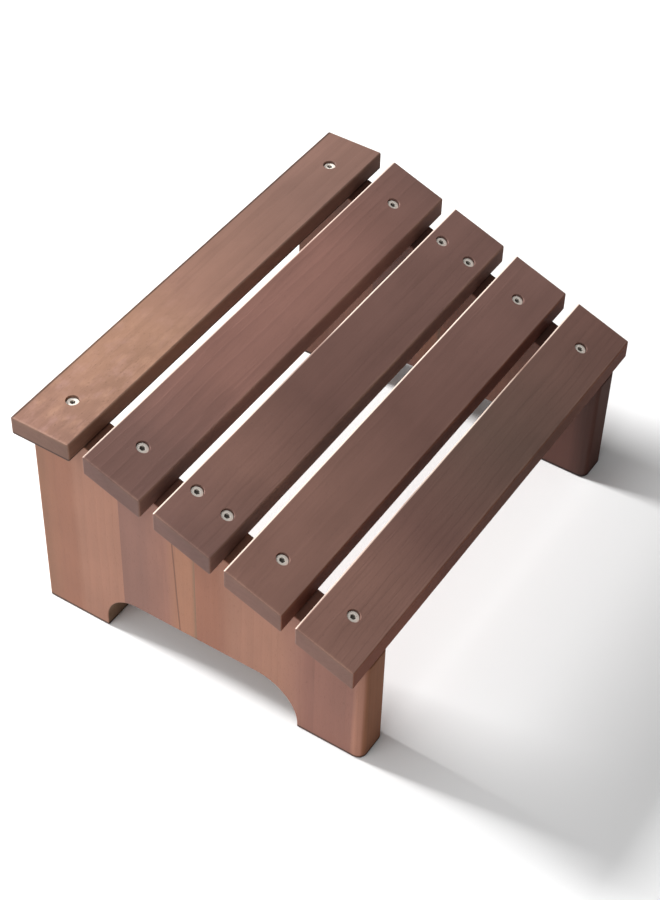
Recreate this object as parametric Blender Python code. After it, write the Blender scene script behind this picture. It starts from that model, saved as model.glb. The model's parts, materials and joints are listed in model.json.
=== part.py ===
# Under-desk footrest: five wooden slats screwed down on two side panels.
#
# The first slat lies level at the rear, where the toes rest, and the other four
# lie on a slope that falls towards the heels. Their long edges are cut plumb, so
# they stand upright though the boards lie tilted. Each side panel is glued up
# from upright staves, rounded at its two front edges and arched underneath.
#
# Metres, +Z up. X runs along the slats, -Y is the front (low) side and
# +Y the rear (high) side. The origin is on the floor, under the middle.

import math

import bmesh
import bpy
from mathutils import Vector

MM = 0.001

# Tread slats
SLAT_LENGTH = 400 * MM
SLAT_WIDTH = 50 * MM
SLAT_THICKNESS = 16 * MM
SLAT_COUNT = 5
SLAT_GAP = 11.5 * MM
SLAT_EDGE_RADIUS = 1.5 * MM
SLAT_END_EASING = 1.2 * MM
DOUBLE_SCREWED_SLAT = 3
SLOPE = math.radians(20)

# Side panels
PANEL_THICKNESS = 30 * MM
PANEL_HEIGHT = 182 * MM
END_OVERHANG = 17 * MM
REAR_OVERHANG = 3.5 * MM
FRONT_EDGE_RADIUS = 7 * MM
PANEL_EASING = 1 * MM

# Glue lines: how far each one lies from the middle of the slat over it
LINE_BEHIND_SLAT_2 = 9.5 * MM
LINE_BEHIND_SLAT_3 = 2.5 * MM
LINE_AHEAD_OF_SLAT_4 = 9 * MM
LINE_BEHIND_SLAT_5 = 17.5 * MM

# Arch under each panel
FOOT_LENGTH = 55 * MM
ARCH_HEIGHT = 38 * MM
ARCH_REAR_RADIUS = 28 * MM
ARCH_FRONT_RADIUS = 35 * MM

# Hex-socket screws
SCREW_FROM_OUTER_FACE = 20 * MM
SCREW_PAIR_SPACING = 26.5 * MM
SCREW_LENGTH = 50 * MM
SCREW_TIP_LENGTH = 4 * MM
SHANK_RADIUS = 3 * MM
HEAD_RADIUS = 4.7 * MM
HEAD_HEIGHT = 3 * MM
HEAD_DOME = 0.5 * MM
HEAD_CROWN_RADIUS = 3 * MM
HEAD_RECESS = 1.5 * MM
HEAD_EASING = 0.4 * MM
SOCKET_ACROSS_FLATS = 4 * MM
SOCKET_DEPTH = 2 * MM

# Fits
FIT_GAP = 0.3 * MM
BORE_TIP_ROOM = 2 * MM

# Fineness of the curves
ARC_STEPS = 8
FRONT_EDGE_STEPS = 5
SLAT_EDGE_STEPS = 4
EASING_STEPS = 2
HEAD_SIDES = 24
SHANK_SIDES = 12
SOCKET_SIDES = 6
SHARP_EDGE_ANGLE = math.radians(30)
ROUND_BEVEL_PROFILE = 0.5
CUT_MARGIN = 10 * MM

# Finishes, in linear colour
SLAT_COLOR = (0.22, 0.12, 0.09)
PANEL_COLOR = (0.42, 0.22, 0.14)
WOOD_ROUGHNESS = 0.5
STEEL_COLOR = (0.75, 0.73, 0.7)
STEEL_ROUGHNESS = 0.3

# Worked out from the sizes above
SLAT_PITCH = SLAT_WIDTH + SLAT_GAP
SLOPED_RUN = (SLAT_COUNT - 2) * SLAT_PITCH + SLAT_WIDTH
TREAD_DEPTH = SLAT_PITCH + SLOPED_RUN * math.cos(SLOPE)
TREAD_REAR_Y = TREAD_DEPTH / 2
CREASE_Y = TREAD_REAR_Y - SLAT_WIDTH
PANEL_REAR_Y = TREAD_REAR_Y - REAR_OVERHANG
PANEL_FRONT_Y = TREAD_REAR_Y - TREAD_DEPTH
OUTER_FACE_X = SLAT_LENGTH / 2 - END_OVERHANG
INNER_FACE_X = OUTER_FACE_X - PANEL_THICKNESS
SCREW_X = OUTER_FACE_X - SCREW_FROM_OUTER_FACE
SEAT_DEPTH = HEAD_RECESS + HEAD_HEIGHT
SIDES = {"left": -1, "right": 1}


def clear_scene():
    for existing in list(bpy.data.objects):
        bpy.data.objects.remove(existing)


def material(name, color, roughness, metallic=0.0):
    made = bpy.data.materials.new(name)
    made.use_nodes = True
    shader = made.node_tree.nodes["Principled BSDF"]
    shader.inputs["Base Color"].default_value = (*color, 1)
    shader.inputs["Roughness"].default_value = roughness
    shader.inputs["Metallic"].default_value = metallic
    return made


def mesh_from(bm, name):
    bmesh.ops.recalc_face_normals(bm, faces=bm.faces)
    mesh = bpy.data.meshes.new(name)
    bm.to_mesh(mesh)
    bm.free()
    return mesh


def place(name, mesh, finish=None, location=(0, 0, 0), tilt=0.0):
    obj = bpy.data.objects.new(name, mesh)
    obj.location = location
    obj.rotation_euler.x = tilt
    if finish:
        obj.data.materials.append(finish)
    bpy.context.scene.collection.objects.link(obj)
    return obj


def as_helper(obj):
    obj.hide_render = True
    obj.display_type = "WIRE"
    return obj


def ease_edges(obj, width):
    bevel = obj.modifiers.new("Eased edges", "BEVEL")
    bevel.width = width
    bevel.segments = EASING_STEPS
    bevel.limit_method = "ANGLE"
    bevel.angle_limit = SHARP_EDGE_ANGLE


def combine(obj, other, operation, title):
    cut = obj.modifiers.new(title, "BOOLEAN")
    cut.operation = operation
    cut.solver = "EXACT"
    if isinstance(other, bpy.types.Collection):
        cut.operand_type = "COLLECTION"
        cut.collection = other
    else:
        cut.object = other


def shade(mesh):
    """Smooth over the round stretches, with the real edges left sharp."""
    mesh.shade_smooth()
    mesh.set_sharp_from_angle(angle=SHARP_EDGE_ANGLE)


def skin(bm, rings):
    """Faces between successive rings of vertices; a pole is one vertex repeated."""
    for lower, upper in zip(rings, rings[1:]):
        for here, corner in enumerate(lower):
            after = (here + 1) % len(lower)
            bm.faces.new(dict.fromkeys((corner, lower[after], upper[after], upper[here])))


def box_mesh(name, low, high):
    bm = bmesh.new()
    bmesh.ops.create_cube(bm, size=1)
    for vert in bm.verts:
        vert.co = [b if c > 0 else a for a, b, c in zip(low, high, vert.co)]
    return mesh_from(bm, name)


def turned_mesh(name, profile, sides):
    """A solid turned about Z from (radius, height) points, its two ends on the axis."""
    bm = bmesh.new()
    rings = []
    for radius, height in profile:
        if radius == 0:
            rings.append([bm.verts.new((0, 0, height))] * sides)
            continue
        turns = [2 * math.pi * step / sides for step in range(sides)]
        ring = [bm.verts.new((radius * math.cos(a), radius * math.sin(a), height)) for a in turns]
        rings.append(ring)
    skin(bm, rings)
    return mesh_from(bm, name)


# Seats: where each slat lies and how it is tilted


def slat_tilt(number):
    return 0.0 if number == 1 else SLOPE


def slat_seat(number):
    """Middle of the slat's underside, a fit gap over the top of the panels."""
    if number == 1:
        return Vector((0, TREAD_REAR_Y - SLAT_WIDTH / 2, PANEL_HEIGHT + FIT_GAP))
    crease = Vector((0, CREASE_Y, PANEL_HEIGHT + FIT_GAP / math.cos(SLOPE)))
    down_slope = Vector((0, -math.cos(SLOPE), -math.sin(SLOPE)))
    first_edge = SLAT_GAP / math.cos(SLOPE)
    return crease + down_slope * (first_edge + (number - 2) * SLAT_PITCH + SLAT_WIDTH / 2)


def edge_lean(number):
    """How far the slat's top is shifted rearwards along its width by its plumb edges."""
    return SLAT_THICKNESS * math.tan(slat_tilt(number))


def on_slat(number, x, across, height):
    """World point at x, across the middle of a slat's top and height over its underside."""
    tilt = slat_tilt(number)
    rearwards = Vector((0, math.cos(tilt), math.sin(tilt)))
    upwards = Vector((0, -math.sin(tilt), math.cos(tilt)))
    shift = across + edge_lean(number)
    return slat_seat(number) + Vector((x, 0, 0)) + rearwards * shift + upwards * height


def screw_seats():
    """(side, name ending, slat number, offset across the slat) of every screw."""
    for side in SIDES:
        for number in range(1, SLAT_COUNT + 1):
            if number == DOUBLE_SCREWED_SLAT:
                yield side, f"{number}_rear", number, SCREW_PAIR_SPACING / 2
                yield side, f"{number}_front", number, -SCREW_PAIR_SPACING / 2
            else:
                yield side, f"{number}", number, 0.0


# Screws and the holes they go in


def screw_mesh():
    """Low domed head with a hex socket, plain shank, pointed tip. Z = 0 is under the head."""
    rim = HEAD_HEIGHT - HEAD_DOME
    head_profile = [
        (0, 0),
        (HEAD_RADIUS, 0),
        (HEAD_RADIUS, rim - HEAD_EASING),
        (HEAD_RADIUS - HEAD_EASING, rim),
        (HEAD_CROWN_RADIUS, HEAD_HEIGHT),
        (0, HEAD_HEIGHT),
    ]
    shank_profile = [
        (0, -SCREW_LENGTH),
        (SHANK_RADIUS, SCREW_TIP_LENGTH - SCREW_LENGTH),
        (SHANK_RADIUS, HEAD_HEIGHT / 4),
        (0, HEAD_HEIGHT / 4),
    ]
    head = place("screw_head_form", turned_mesh("screw_head_form", head_profile, HEAD_SIDES))
    shank = place("screw_shank_form", turned_mesh("screw_shank_form", shank_profile, SHANK_SIDES))
    socket_radius = SOCKET_ACROSS_FLATS / 2 / math.cos(math.pi / SOCKET_SIDES)
    socket_profile = [
        (0, HEAD_HEIGHT - SOCKET_DEPTH),
        (socket_radius, HEAD_HEIGHT - SOCKET_DEPTH),
        (socket_radius, HEAD_HEIGHT + CUT_MARGIN),
        (0, HEAD_HEIGHT + CUT_MARGIN),
    ]
    socket = place("socket_form", turned_mesh("socket_form", socket_profile, SOCKET_SIDES))
    combine(head, shank, "UNION", "Shank")
    combine(head, socket, "DIFFERENCE", "Hex socket")
    graph = bpy.context.evaluated_depsgraph_get()
    mesh = bpy.data.meshes.new_from_object(head.evaluated_get(graph))
    mesh.name = "hex_socket_screw"
    shade(mesh)
    for form in (head, shank, socket):
        bpy.data.objects.remove(form)
    return mesh


def drill_mesh():
    """Counterbore for the head and bore for the shank, open upwards. Z = 0 is under the head."""
    counterbore = HEAD_RADIUS + FIT_GAP
    bore = SHANK_RADIUS + FIT_GAP
    profile = [
        (0, -SCREW_LENGTH - BORE_TIP_ROOM),
        (bore, -SCREW_LENGTH - BORE_TIP_ROOM),
        (bore, -FIT_GAP),
        (counterbore, -FIT_GAP),
        (counterbore, SEAT_DEPTH + CUT_MARGIN),
        (0, SEAT_DEPTH + CUT_MARGIN),
    ]
    return turned_mesh("drill", profile, HEAD_SIDES)


def make_screws_and_drills(finish):
    """Every screw, with one hidden drill for its holes, sorted by slat and by side."""
    drills = {}
    for key in [*SIDES, *range(1, SLAT_COUNT + 1)]:
        drills[key] = bpy.data.collections.new(f"drills_{key}")
        bpy.context.scene.collection.children.link(drills[key])
    screw = screw_mesh()
    screw.materials.append(finish)
    drill = drill_mesh()
    for side, ending, number, across in screw_seats():
        head_seat = SLAT_THICKNESS - SEAT_DEPTH
        point = on_slat(number, SIDES[side] * SCREW_X, across, head_seat)
        tilt = slat_tilt(number)
        place(f"screw_{side}_{ending}", screw, None, point, tilt)
        cutter = as_helper(place(f"drill_{side}_{ending}", drill, None, point, tilt))
        drills[side].objects.link(cutter)
        drills[number].objects.link(cutter)
    return drills


# Tread slats


def slat_corners(number):
    """(y, z) corners of a slat's section as it lies in the slat's own tilted frame."""
    half = SLAT_WIDTH / 2
    lean = edge_lean(number)
    return [(half, 0), (half + lean, SLAT_THICKNESS), (lean - half, SLAT_THICKNESS), (-half, 0)]


def round_corners(corners, radius, inset):
    """The outline with rounded corners, drawn in by the inset all the way round."""
    outline = []
    for here, point in enumerate(corners):
        corner = Vector(point)
        back = (Vector(corners[here - 1]) - corner).normalized()
        ahead = (Vector(corners[(here + 1) % len(corners)]) - corner).normalized()
        half_angle = back.angle(ahead) / 2
        center = corner + (back + ahead).normalized() * radius / math.sin(half_angle)
        to_tangent = radius / math.tan(half_angle)
        start = (corner + back * to_tangent - center).normalized()
        end = (corner + ahead * to_tangent - center).normalized()
        for step in range(SLAT_EDGE_STEPS + 1):
            direction = start.slerp(end, step / SLAT_EDGE_STEPS)
            outline.append(center + direction * (radius - inset))
    return outline


def slat_stations():
    """(x, inset) along a slat, whose section draws in round the eased ends."""
    turns = [math.pi / 2 * step / EASING_STEPS for step in range(EASING_STEPS + 1)]
    half = SLAT_LENGTH / 2
    end = []
    for turn in turns:
        x = half - SLAT_END_EASING * (1 - math.cos(turn))
        end.append((x, SLAT_END_EASING * (1 - math.sin(turn))))
    return [(-x, inset) for x, inset in end] + end[::-1]


def slat_mesh(number):
    """A board with rounded long edges, which stand plumb once it is tilted."""
    bm = bmesh.new()
    rings = []
    for x, inset in slat_stations():
        outline = round_corners(slat_corners(number), SLAT_EDGE_RADIUS, inset)
        rings.append([bm.verts.new((x, y, z)) for y, z in outline])
    skin(bm, rings)
    bm.faces.new(rings[0])
    bm.faces.new(rings[-1])
    return mesh_from(bm, "tread_slat")


def make_slats(finish, drills):
    for number in range(1, SLAT_COUNT + 1):
        board = slat_mesh(number)
        slat = place(f"tread_slat_{number}", board, finish, slat_seat(number), slat_tilt(number))
        combine(slat, drills[number], "DIFFERENCE", "Screw holes")


# Side panels


def arc(center, radius, start, end):
    """(y, z) points on an arc, its angles in degrees from +Y towards +Z."""
    turns = [math.radians(start + (end - start) * step / ARC_STEPS) for step in range(ARC_STEPS + 1)]
    return [(center[0] + radius * math.cos(a), center[1] + radius * math.sin(a)) for a in turns]


def panel_outline():
    """(y, z) corners of a side panel with its arch, from the rear foot over the top."""
    front_top = PANEL_HEIGHT - (CREASE_Y - PANEL_FRONT_Y) * math.tan(SLOPE)
    arch_rear_y = PANEL_REAR_Y - FOOT_LENGTH
    arch_front_y = PANEL_FRONT_Y + FOOT_LENGTH
    rear_arc_center = (arch_rear_y - ARCH_REAR_RADIUS, ARCH_HEIGHT - ARCH_REAR_RADIUS)
    front_arc_center = (arch_front_y + ARCH_FRONT_RADIUS, ARCH_HEIGHT - ARCH_FRONT_RADIUS)
    return [
        (PANEL_REAR_Y, 0),
        (PANEL_REAR_Y, PANEL_HEIGHT),
        (CREASE_Y, PANEL_HEIGHT),
        (PANEL_FRONT_Y, front_top),
        (PANEL_FRONT_Y, 0),
        (arch_front_y, 0),
        *arc(front_arc_center, ARCH_FRONT_RADIUS, 180, 90),
        *arc(rear_arc_center, ARCH_REAR_RADIUS, 90, 0),
        (arch_rear_y, 0),
    ]


def panel_mesh(direction):
    """The whole panel as one board, its two upright front edges rounded."""
    bm = bmesh.new()
    outline = [bm.verts.new((direction * INNER_FACE_X, y, z)) for y, z in panel_outline()]
    face = bm.faces.new(outline)
    grown = bmesh.ops.extrude_face_region(bm, geom=[face])["geom"]
    moved = [item for item in grown if isinstance(item, bmesh.types.BMVert)]
    bmesh.ops.translate(bm, verts=moved, vec=(direction * PANEL_THICKNESS, 0, 0))

    def is_upright_front(edge):
        ends = [vert.co for vert in edge.verts]
        on_front = all(abs(co.y - PANEL_FRONT_Y) < FIT_GAP for co in ends)
        return on_front and abs(ends[0].z - ends[1].z) > FRONT_EDGE_RADIUS

    bmesh.ops.bevel(
        bm,
        geom=[edge for edge in bm.edges if is_upright_front(edge)],
        offset=FRONT_EDGE_RADIUS,
        segments=FRONT_EDGE_STEPS,
        profile=ROUND_BEVEL_PROFILE,
        affect="EDGES",
    )
    return mesh_from(bm, "side_panel")


def glue_lines():
    """y of the glue lines between the staves, from the rear forwards."""
    return [
        slat_seat(2).y + LINE_BEHIND_SLAT_2,
        slat_seat(3).y + LINE_BEHIND_SLAT_3,
        slat_seat(4).y - LINE_AHEAD_OF_SLAT_4,
        slat_seat(5).y + LINE_BEHIND_SLAT_5,
    ]


def stave_slots():
    """(number, rear y, front y) of each stave; the end ones reach past the panel."""
    lines = [PANEL_REAR_Y + CUT_MARGIN, *glue_lines(), PANEL_FRONT_Y - CUT_MARGIN]
    for number, (rear_y, front_y) in enumerate(zip(lines, lines[1:]), start=1):
        yield number, rear_y, front_y


def make_panel(side, finish, drills):
    direction = SIDES[side]
    board = panel_mesh(direction)
    board.materials.append(finish)
    reach_x = sorted((direction * (INNER_FACE_X - CUT_MARGIN), direction * (OUTER_FACE_X + CUT_MARGIN)))
    for number, rear_y, front_y in stave_slots():
        low = (reach_x[0], front_y, -CUT_MARGIN)
        high = (reach_x[1], rear_y, PANEL_HEIGHT + CUT_MARGIN)
        name = f"{side}_side_stave_{number}"
        slot = as_helper(place(f"{name}_slot", box_mesh(f"{name}_slot", low, high)))
        stave = place(name, board)
        ease_edges(stave, PANEL_EASING)
        combine(stave, slot, "INTERSECT", "Between the glue lines")
        combine(stave, drills[side], "DIFFERENCE", "Screw holes")


def settle_shapes():
    """Turn every piece's modifiers into its own mesh, then drop the cutters."""
    scene = bpy.context.scene
    graph = bpy.context.evaluated_depsgraph_get()
    pieces = [obj for obj in scene.objects if obj.modifiers]
    meshes = [bpy.data.meshes.new_from_object(obj.evaluated_get(graph)) for obj in pieces]
    for obj, mesh in zip(pieces, meshes):
        obj.modifiers.clear()
        obj.data = mesh
        mesh.name = obj.name
        shade(mesh)
    for helper in [obj for obj in scene.objects if obj.hide_render]:
        bpy.data.objects.remove(helper)


def build():
    clear_scene()
    slat_wood = material("slat_wood", SLAT_COLOR, WOOD_ROUGHNESS)
    panel_wood = material("panel_wood", PANEL_COLOR, WOOD_ROUGHNESS)
    steel = material("screw_steel", STEEL_COLOR, STEEL_ROUGHNESS, metallic=1.0)
    drills = make_screws_and_drills(steel)
    make_slats(slat_wood, drills)
    for side in SIDES:
        make_panel(side, panel_wood, drills)
    settle_shapes()


build()
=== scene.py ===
# %% [markdown]
# # An under-desk footrest in stained wood
#
# The real thing is a low step. Five slats are screwed down on two side panels,
# and each panel is glued up from five upright staves. The first slat lies level at
# the rear, and the other four slope down towards the front.
#
# A separate model already holds every piece at its real size, with plain faces.
# This lesson loads that model as a fixed frame. It then builds a finer piece in
# the place of each plain one, and gives it the finish that the real one has.

import json
import math

import bmesh
import bpy
from mathutils import Matrix, Quaternion, Vector, noise


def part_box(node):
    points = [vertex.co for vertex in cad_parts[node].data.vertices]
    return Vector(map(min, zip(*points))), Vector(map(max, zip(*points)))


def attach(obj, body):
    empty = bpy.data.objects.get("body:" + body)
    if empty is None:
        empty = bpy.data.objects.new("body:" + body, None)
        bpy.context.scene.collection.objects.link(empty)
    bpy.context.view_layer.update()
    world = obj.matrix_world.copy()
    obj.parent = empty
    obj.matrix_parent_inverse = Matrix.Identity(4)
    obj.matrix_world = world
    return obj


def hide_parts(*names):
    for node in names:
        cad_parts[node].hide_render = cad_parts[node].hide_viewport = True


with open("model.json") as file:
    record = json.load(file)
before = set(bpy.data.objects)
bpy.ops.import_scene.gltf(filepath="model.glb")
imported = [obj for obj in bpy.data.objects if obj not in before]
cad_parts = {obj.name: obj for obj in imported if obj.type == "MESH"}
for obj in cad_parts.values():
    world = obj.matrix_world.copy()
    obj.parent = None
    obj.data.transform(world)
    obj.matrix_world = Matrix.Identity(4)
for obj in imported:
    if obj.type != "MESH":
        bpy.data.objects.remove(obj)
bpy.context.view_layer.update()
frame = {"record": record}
MM = 0.001

# %% [markdown]
# ## The camera
#
# The photograph looks down on the near end of the step from the front left, about
# 45 degrees above the floor. Its long edges hardly converge, so it was taken from
# far off with a long lens. A camera could be placed by hand and nudged until the
# edges agree. Here it is given by what a photographer would set: the direction to
# stand in, the distance, the lens and a slight tilt of the camera about its own axis.

# %% The camera
CAMERA_AIM = Vector((0.0126, 0.0142, 0.0620))
CAMERA_DISTANCE = 1.55
CAMERA_AZIMUTH = math.radians(-58.31)
CAMERA_ELEVATION = math.radians(44.98)
CAMERA_ROLL = math.radians(1.865)
CAMERA_LENS = 80.29


def direction(azimuth, elevation):
    """Unit vector from the object: azimuth 0 is the front, a quarter turn is the right."""
    level = math.cos(elevation)
    return Vector((math.sin(azimuth) * level, -math.cos(azimuth) * level, math.sin(elevation)))


def facing(away):
    """Rotation that makes a camera or a light look back along a direction."""
    return (-away).to_track_quat("-Z", "Y")


camera = bpy.data.objects.new("camera", bpy.data.cameras.new("camera"))
bpy.context.scene.collection.objects.link(camera)
camera_way = direction(CAMERA_AZIMUTH, CAMERA_ELEVATION)
camera.location = CAMERA_AIM + CAMERA_DISTANCE * camera_way
camera.rotation_mode = "QUATERNION"
camera.rotation_quaternion = facing(camera_way) @ Quaternion((0, 0, 1), CAMERA_ROLL)
camera.data.lens = CAMERA_LENS
bpy.context.scene.camera = camera
print("Camera at", camera.location)

# %% [markdown]
# ## The floor and the light
#
# The step stands on a plain white floor. Its shadow falls forwards and the light
# passes under the slats, so the main light comes from behind and is low. The left
# panel is bright although it faces away from that light, so a second, larger light
# fills in from the left, and a third one overhead keeps the shadows pale. Soft light
# comes from large lamps, and a lamp is easier to think of by how bright it makes a
# white card than by its watts, so a helper works out the watts. The plain view
# transform keeps the floor a clean white.

# %% The floor and the light
FLOOR_SIZE = 12.0
FLOOR_WHITE = 0.9
SKY_BRIGHTNESS = 0.2


def soft_light(name, azimuth, elevation, distance, size, brightness):
    """A square lamp that lights a white card at the step to the given brightness."""
    lamp = bpy.data.lights.new(name, "AREA")
    lamp.shape = "SQUARE"
    lamp.size = size
    lamp.energy = brightness * (math.pi * distance) ** 2
    holder = bpy.data.objects.new(name, lamp)
    way = direction(math.radians(azimuth), math.radians(elevation))
    holder.location = way * distance
    holder.rotation_mode = "QUATERNION"
    holder.rotation_quaternion = facing(way)
    holder.visible_camera = False
    bpy.context.scene.collection.objects.link(holder)
    print(name, "of", round(lamp.energy), "watts")


soft_light("rear_light", azimuth=-174.5, elevation=28.2, distance=5, size=0.9, brightness=1.85)
soft_light("left_light", azimuth=-98, elevation=38, distance=4, size=3, brightness=0.36)
soft_light("top_light", azimuth=-150, elevation=72, distance=4, size=2.5, brightness=0.28)

sky = bpy.data.worlds.new("pale_sky")
sky.use_nodes = True
sky.node_tree.nodes["Background"].inputs["Color"].default_value = (1, 1, 1, 1)
sky.node_tree.nodes["Background"].inputs["Strength"].default_value = SKY_BRIGHTNESS
bpy.context.scene.world = sky
bpy.context.scene.view_settings.view_transform = "Standard"

floor_form = bmesh.new()
bmesh.ops.create_grid(floor_form, x_segments=1, y_segments=1, size=FLOOR_SIZE / 2)
floor_mesh = bpy.data.meshes.new("floor")
floor_form.to_mesh(floor_mesh)
floor_form.free()
floor = bpy.data.objects.new("floor", floor_mesh)
bpy.context.scene.collection.objects.link(floor)
print("Floor of", FLOOR_SIZE, "metres")

# %% [markdown]
# ## Shader maths as plain Python
#
# A finish is a picture worked out point by point, and its nodes are nothing but
# arithmetic. Placing and linking them one by one hides that, so two small classes
# do it. A Finish holds one material and makes every node by a single method. A
# Wire is one output of a node, and Python's own signs work on it: `1 - mask` adds
# the node that works it out. A colour or a vector goes through Vector Math or Mix,
# because a plain Math node would turn it grey.

# %% Shader maths
MIX_FACTOR = 0
MIX_FIRST_COLOR = 6
MIX_SECOND_COLOR = 7
MIX_COLOR_RESULT = 2


class Wire:
    """One output of a node. Arithmetic on it adds the nodes that work it out."""

    def __init__(self, finish, socket):
        self.finish = finish
        self.socket = socket

    def math(self, operation, *values):
        settings = {"operation": operation}
        return self.finish.node("ShaderNodeMath", settings, dict(enumerate(values)))

    def vector_math(self, operation, sockets):
        return self.finish.node("ShaderNodeVectorMath", {"operation": operation}, sockets)

    def __add__(self, other):
        return self.math("ADD", self, other)

    __radd__ = __add__

    def __mul__(self, other):
        if self.socket.type == "VALUE":
            return self.math("MULTIPLY", self, other)
        return self.vector_math("SCALE", {"Vector": self, "Scale": other})

    __rmul__ = __mul__

    def __sub__(self, other):
        return self.math("SUBTRACT", self, other)

    def __rsub__(self, other):
        return self.math("SUBTRACT", other, self)

    def __truediv__(self, other):
        return self.math("DIVIDE", self, other)

    def __pow__(self, other):
        return self.math("POWER", self, other)

    def __abs__(self):
        return self.math("ABSOLUTE", self)

    def tinted(self, tint):
        return self.vector_math("MULTIPLY", {0: self, 1: tint})

    def swing(self, amount):
        """Noise of 0 to 1 turned into a swing from minus to plus half the amount."""
        return (self - 0.5) * amount

    def part_after_point(self):
        return self.math("FRACT", self)

    def lesser(self, other):
        return self.math("MINIMUM", self, other)

    def greater(self, other):
        return self.math("MAXIMUM", self, other)

    def rise(self, start, end):
        """A soft step: 0 up to the start and 1 from the end on. It falls if the end is less."""
        settings = {"interpolation_type": "SMOOTHSTEP"}
        sockets = {"Value": self, "From Min": start, "From Max": end}
        return self.finish.node("ShaderNodeMapRange", settings, sockets)


class Finish:
    """A material whose nodes are all made by one method."""

    def __init__(self, name):
        self.material = bpy.data.materials.new(name)
        self.material.use_nodes = True
        self.tree = self.material.node_tree
        self.tree.nodes.clear()

    def node(self, kind, settings=None, sockets=None, output=0):
        """One node: its settings come first, then the values or links of its sockets."""
        made = self.tree.nodes.new(kind)
        for setting, value in (settings or {}).items():
            if setting == "stops":
                self.set_stops(made.color_ramp, value)
            else:
                setattr(made, setting, value)
        for socket, value in (sockets or {}).items():
            if isinstance(value, Wire):
                self.tree.links.new(value.socket, made.inputs[socket])
            else:
                made.inputs[socket].default_value = value
        return Wire(self, made.outputs[output]) if made.outputs else None

    def set_stops(self, ramp, stops):
        while len(ramp.elements) < len(stops):
            ramp.elements.new(1)
        for element, (share, color) in zip(ramp.elements, stops):
            element.position = share
            element.color = color

    def place(self, output="Object"):
        return self.node("ShaderNodeTexCoord", output=output)

    def normal(self):
        """(x, y, z) of the way that the surface faces."""
        return self.split(self.place("Normal"))

    def split(self, vector):
        made = self.node("ShaderNodeSeparateXYZ", sockets={0: vector}).socket.node
        return [Wire(self, socket) for socket in made.outputs]

    def join(self, x, y, z):
        return self.node("ShaderNodeCombineXYZ", sockets={0: x, 1: y, 2: z})

    def cloud(self, where, detail=2.0, roughness=0.5):
        """Soft noise from 0 to 1, about as coarse as the unit of its vector."""
        sockets = {"Vector": where, "Scale": 1.0, "Detail": detail, "Roughness": roughness}
        return self.node("ShaderNodeTexNoise", {}, sockets)

    def mix(self, first, second, factor):
        settings = {"data_type": "RGBA"}
        sockets = {MIX_FACTOR: factor, MIX_FIRST_COLOR: first, MIX_SECOND_COLOR: second}
        return self.node("ShaderNodeMix", settings, sockets, MIX_COLOR_RESULT)

    def bump(self, height, depth):
        """A normal from a height of 0 to 1 that stands for the given depth in metres."""
        return self.node("ShaderNodeBump", {}, {"Height": height, "Distance": depth, "Strength": 1.0})

    def surface(self, sockets):
        shader = self.node("ShaderNodeBsdfPrincipled", {}, sockets)
        self.node("ShaderNodeOutputMaterial", {}, {"Surface": shader})


def paint(code):
    """A colour as a paint chart gives it, such as 7D6058, made linear by the sRGB curve."""
    shares = [int(code[at : at + 2], 16) / 255 for at in (0, 2, 4)]
    linear = [s / 12.92 if s <= 0.04045 else ((s + 0.055) / 1.055) ** 2.4 for s in shares]
    return (*linear, 1.0)


white_floor = Finish("white_floor")
white_floor.surface({
    "Base Color": (FLOOR_WHITE, FLOOR_WHITE, FLOOR_WHITE, 1),
    "Roughness": 0.9,
    "Specular IOR Level": 0.0,
})
floor_mesh.materials.append(white_floor.material)
print("A chart colour in linear light:", paint("7D6058"))

# %% [markdown]
# ## The wood
#
# Both the slats and the panels are softwood, stained reddish brown and sealed with
# a satin varnish. A picture of wood wrapped round a board would show its seams at
# the ends. So this wood is solid, as in a real log: growth rings are worked out
# from each point's distance to the heart of the tree, which lies outside the board.
# The face then shows lines, and the end shows arcs, without any extra work.
#
# Over the rings lie slow drifts of the stain's tone along or across the board, soft
# streaks, fine fibres and small dark pores. The varnish is rubbed thinner along the
# edges, where the wood is paler and less glossy, and the end grain drinks more stain.
# The sawn fronts have hardly any varnish, so they are matt and mirror no white floor.

# %% The wood
RING_WIDTH = 4.2 * MM
RING_WOBBLE = 5 * MM
STREAK_LENGTH = 160 * MM
STREAK_WIDTH = 5 * MM
FIBRE_LENGTH = 22 * MM
FIBRE_WIDTH = 0.55 * MM
PORE_LENGTH = 5 * MM
PORE_WIDTH = 0.35 * MM
BLOTCH_SIZE = 32 * MM
STREAK_TONE_WANDER = 0.06
BLOTCH_TONE_WANDER = 0.05
STREAK_SHADE = 0.20
FIBRE_SHADE = 0.16
BLOTCH_SHADE = 0.34
LATE_WOOD_SHADE = 0.07
LATE_WOOD_PEAK = 0.93
PORE_SHADE = 0.10
END_GRAIN_SHADE = 0.22
END_FIBRE_SHADE = 0.2
RUBBED_REACH = 2.4 * MM
RUBBED_STRENGTH = 0.45
VARNISH_ROUGHNESS = 0.40
SAWN_ROUGHNESS = 0.45
WOOD_RELIEF = 0.12 * MM


class Board:
    """What a wood finish has to know of a board, in the board's own tilted frame.

    Low and high are its box, and the grain is the axis that it grew along. The drift is
    the axis that the stain's tone changes along, with its start and end. The heart is the
    middle of the tree, across and through the board. The seed gives a figure of its own.
    """

    def __init__(self, low, high, grain, drift, heart, seed, middle=(0, 0, 0), tilt=0.0):
        self.low = low
        self.high = high
        self.grain = grain
        self.drift = drift
        self.heart = heart
        self.seed = seed
        self.middle = middle
        self.tilt = tilt


def stretched(finish, parts, length, width, seed):
    """A vector for noise that is long with the grain and narrow across it."""
    along, across, through = parts
    return finish.join(along / length + seed, across / width + seed, through / width)


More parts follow.
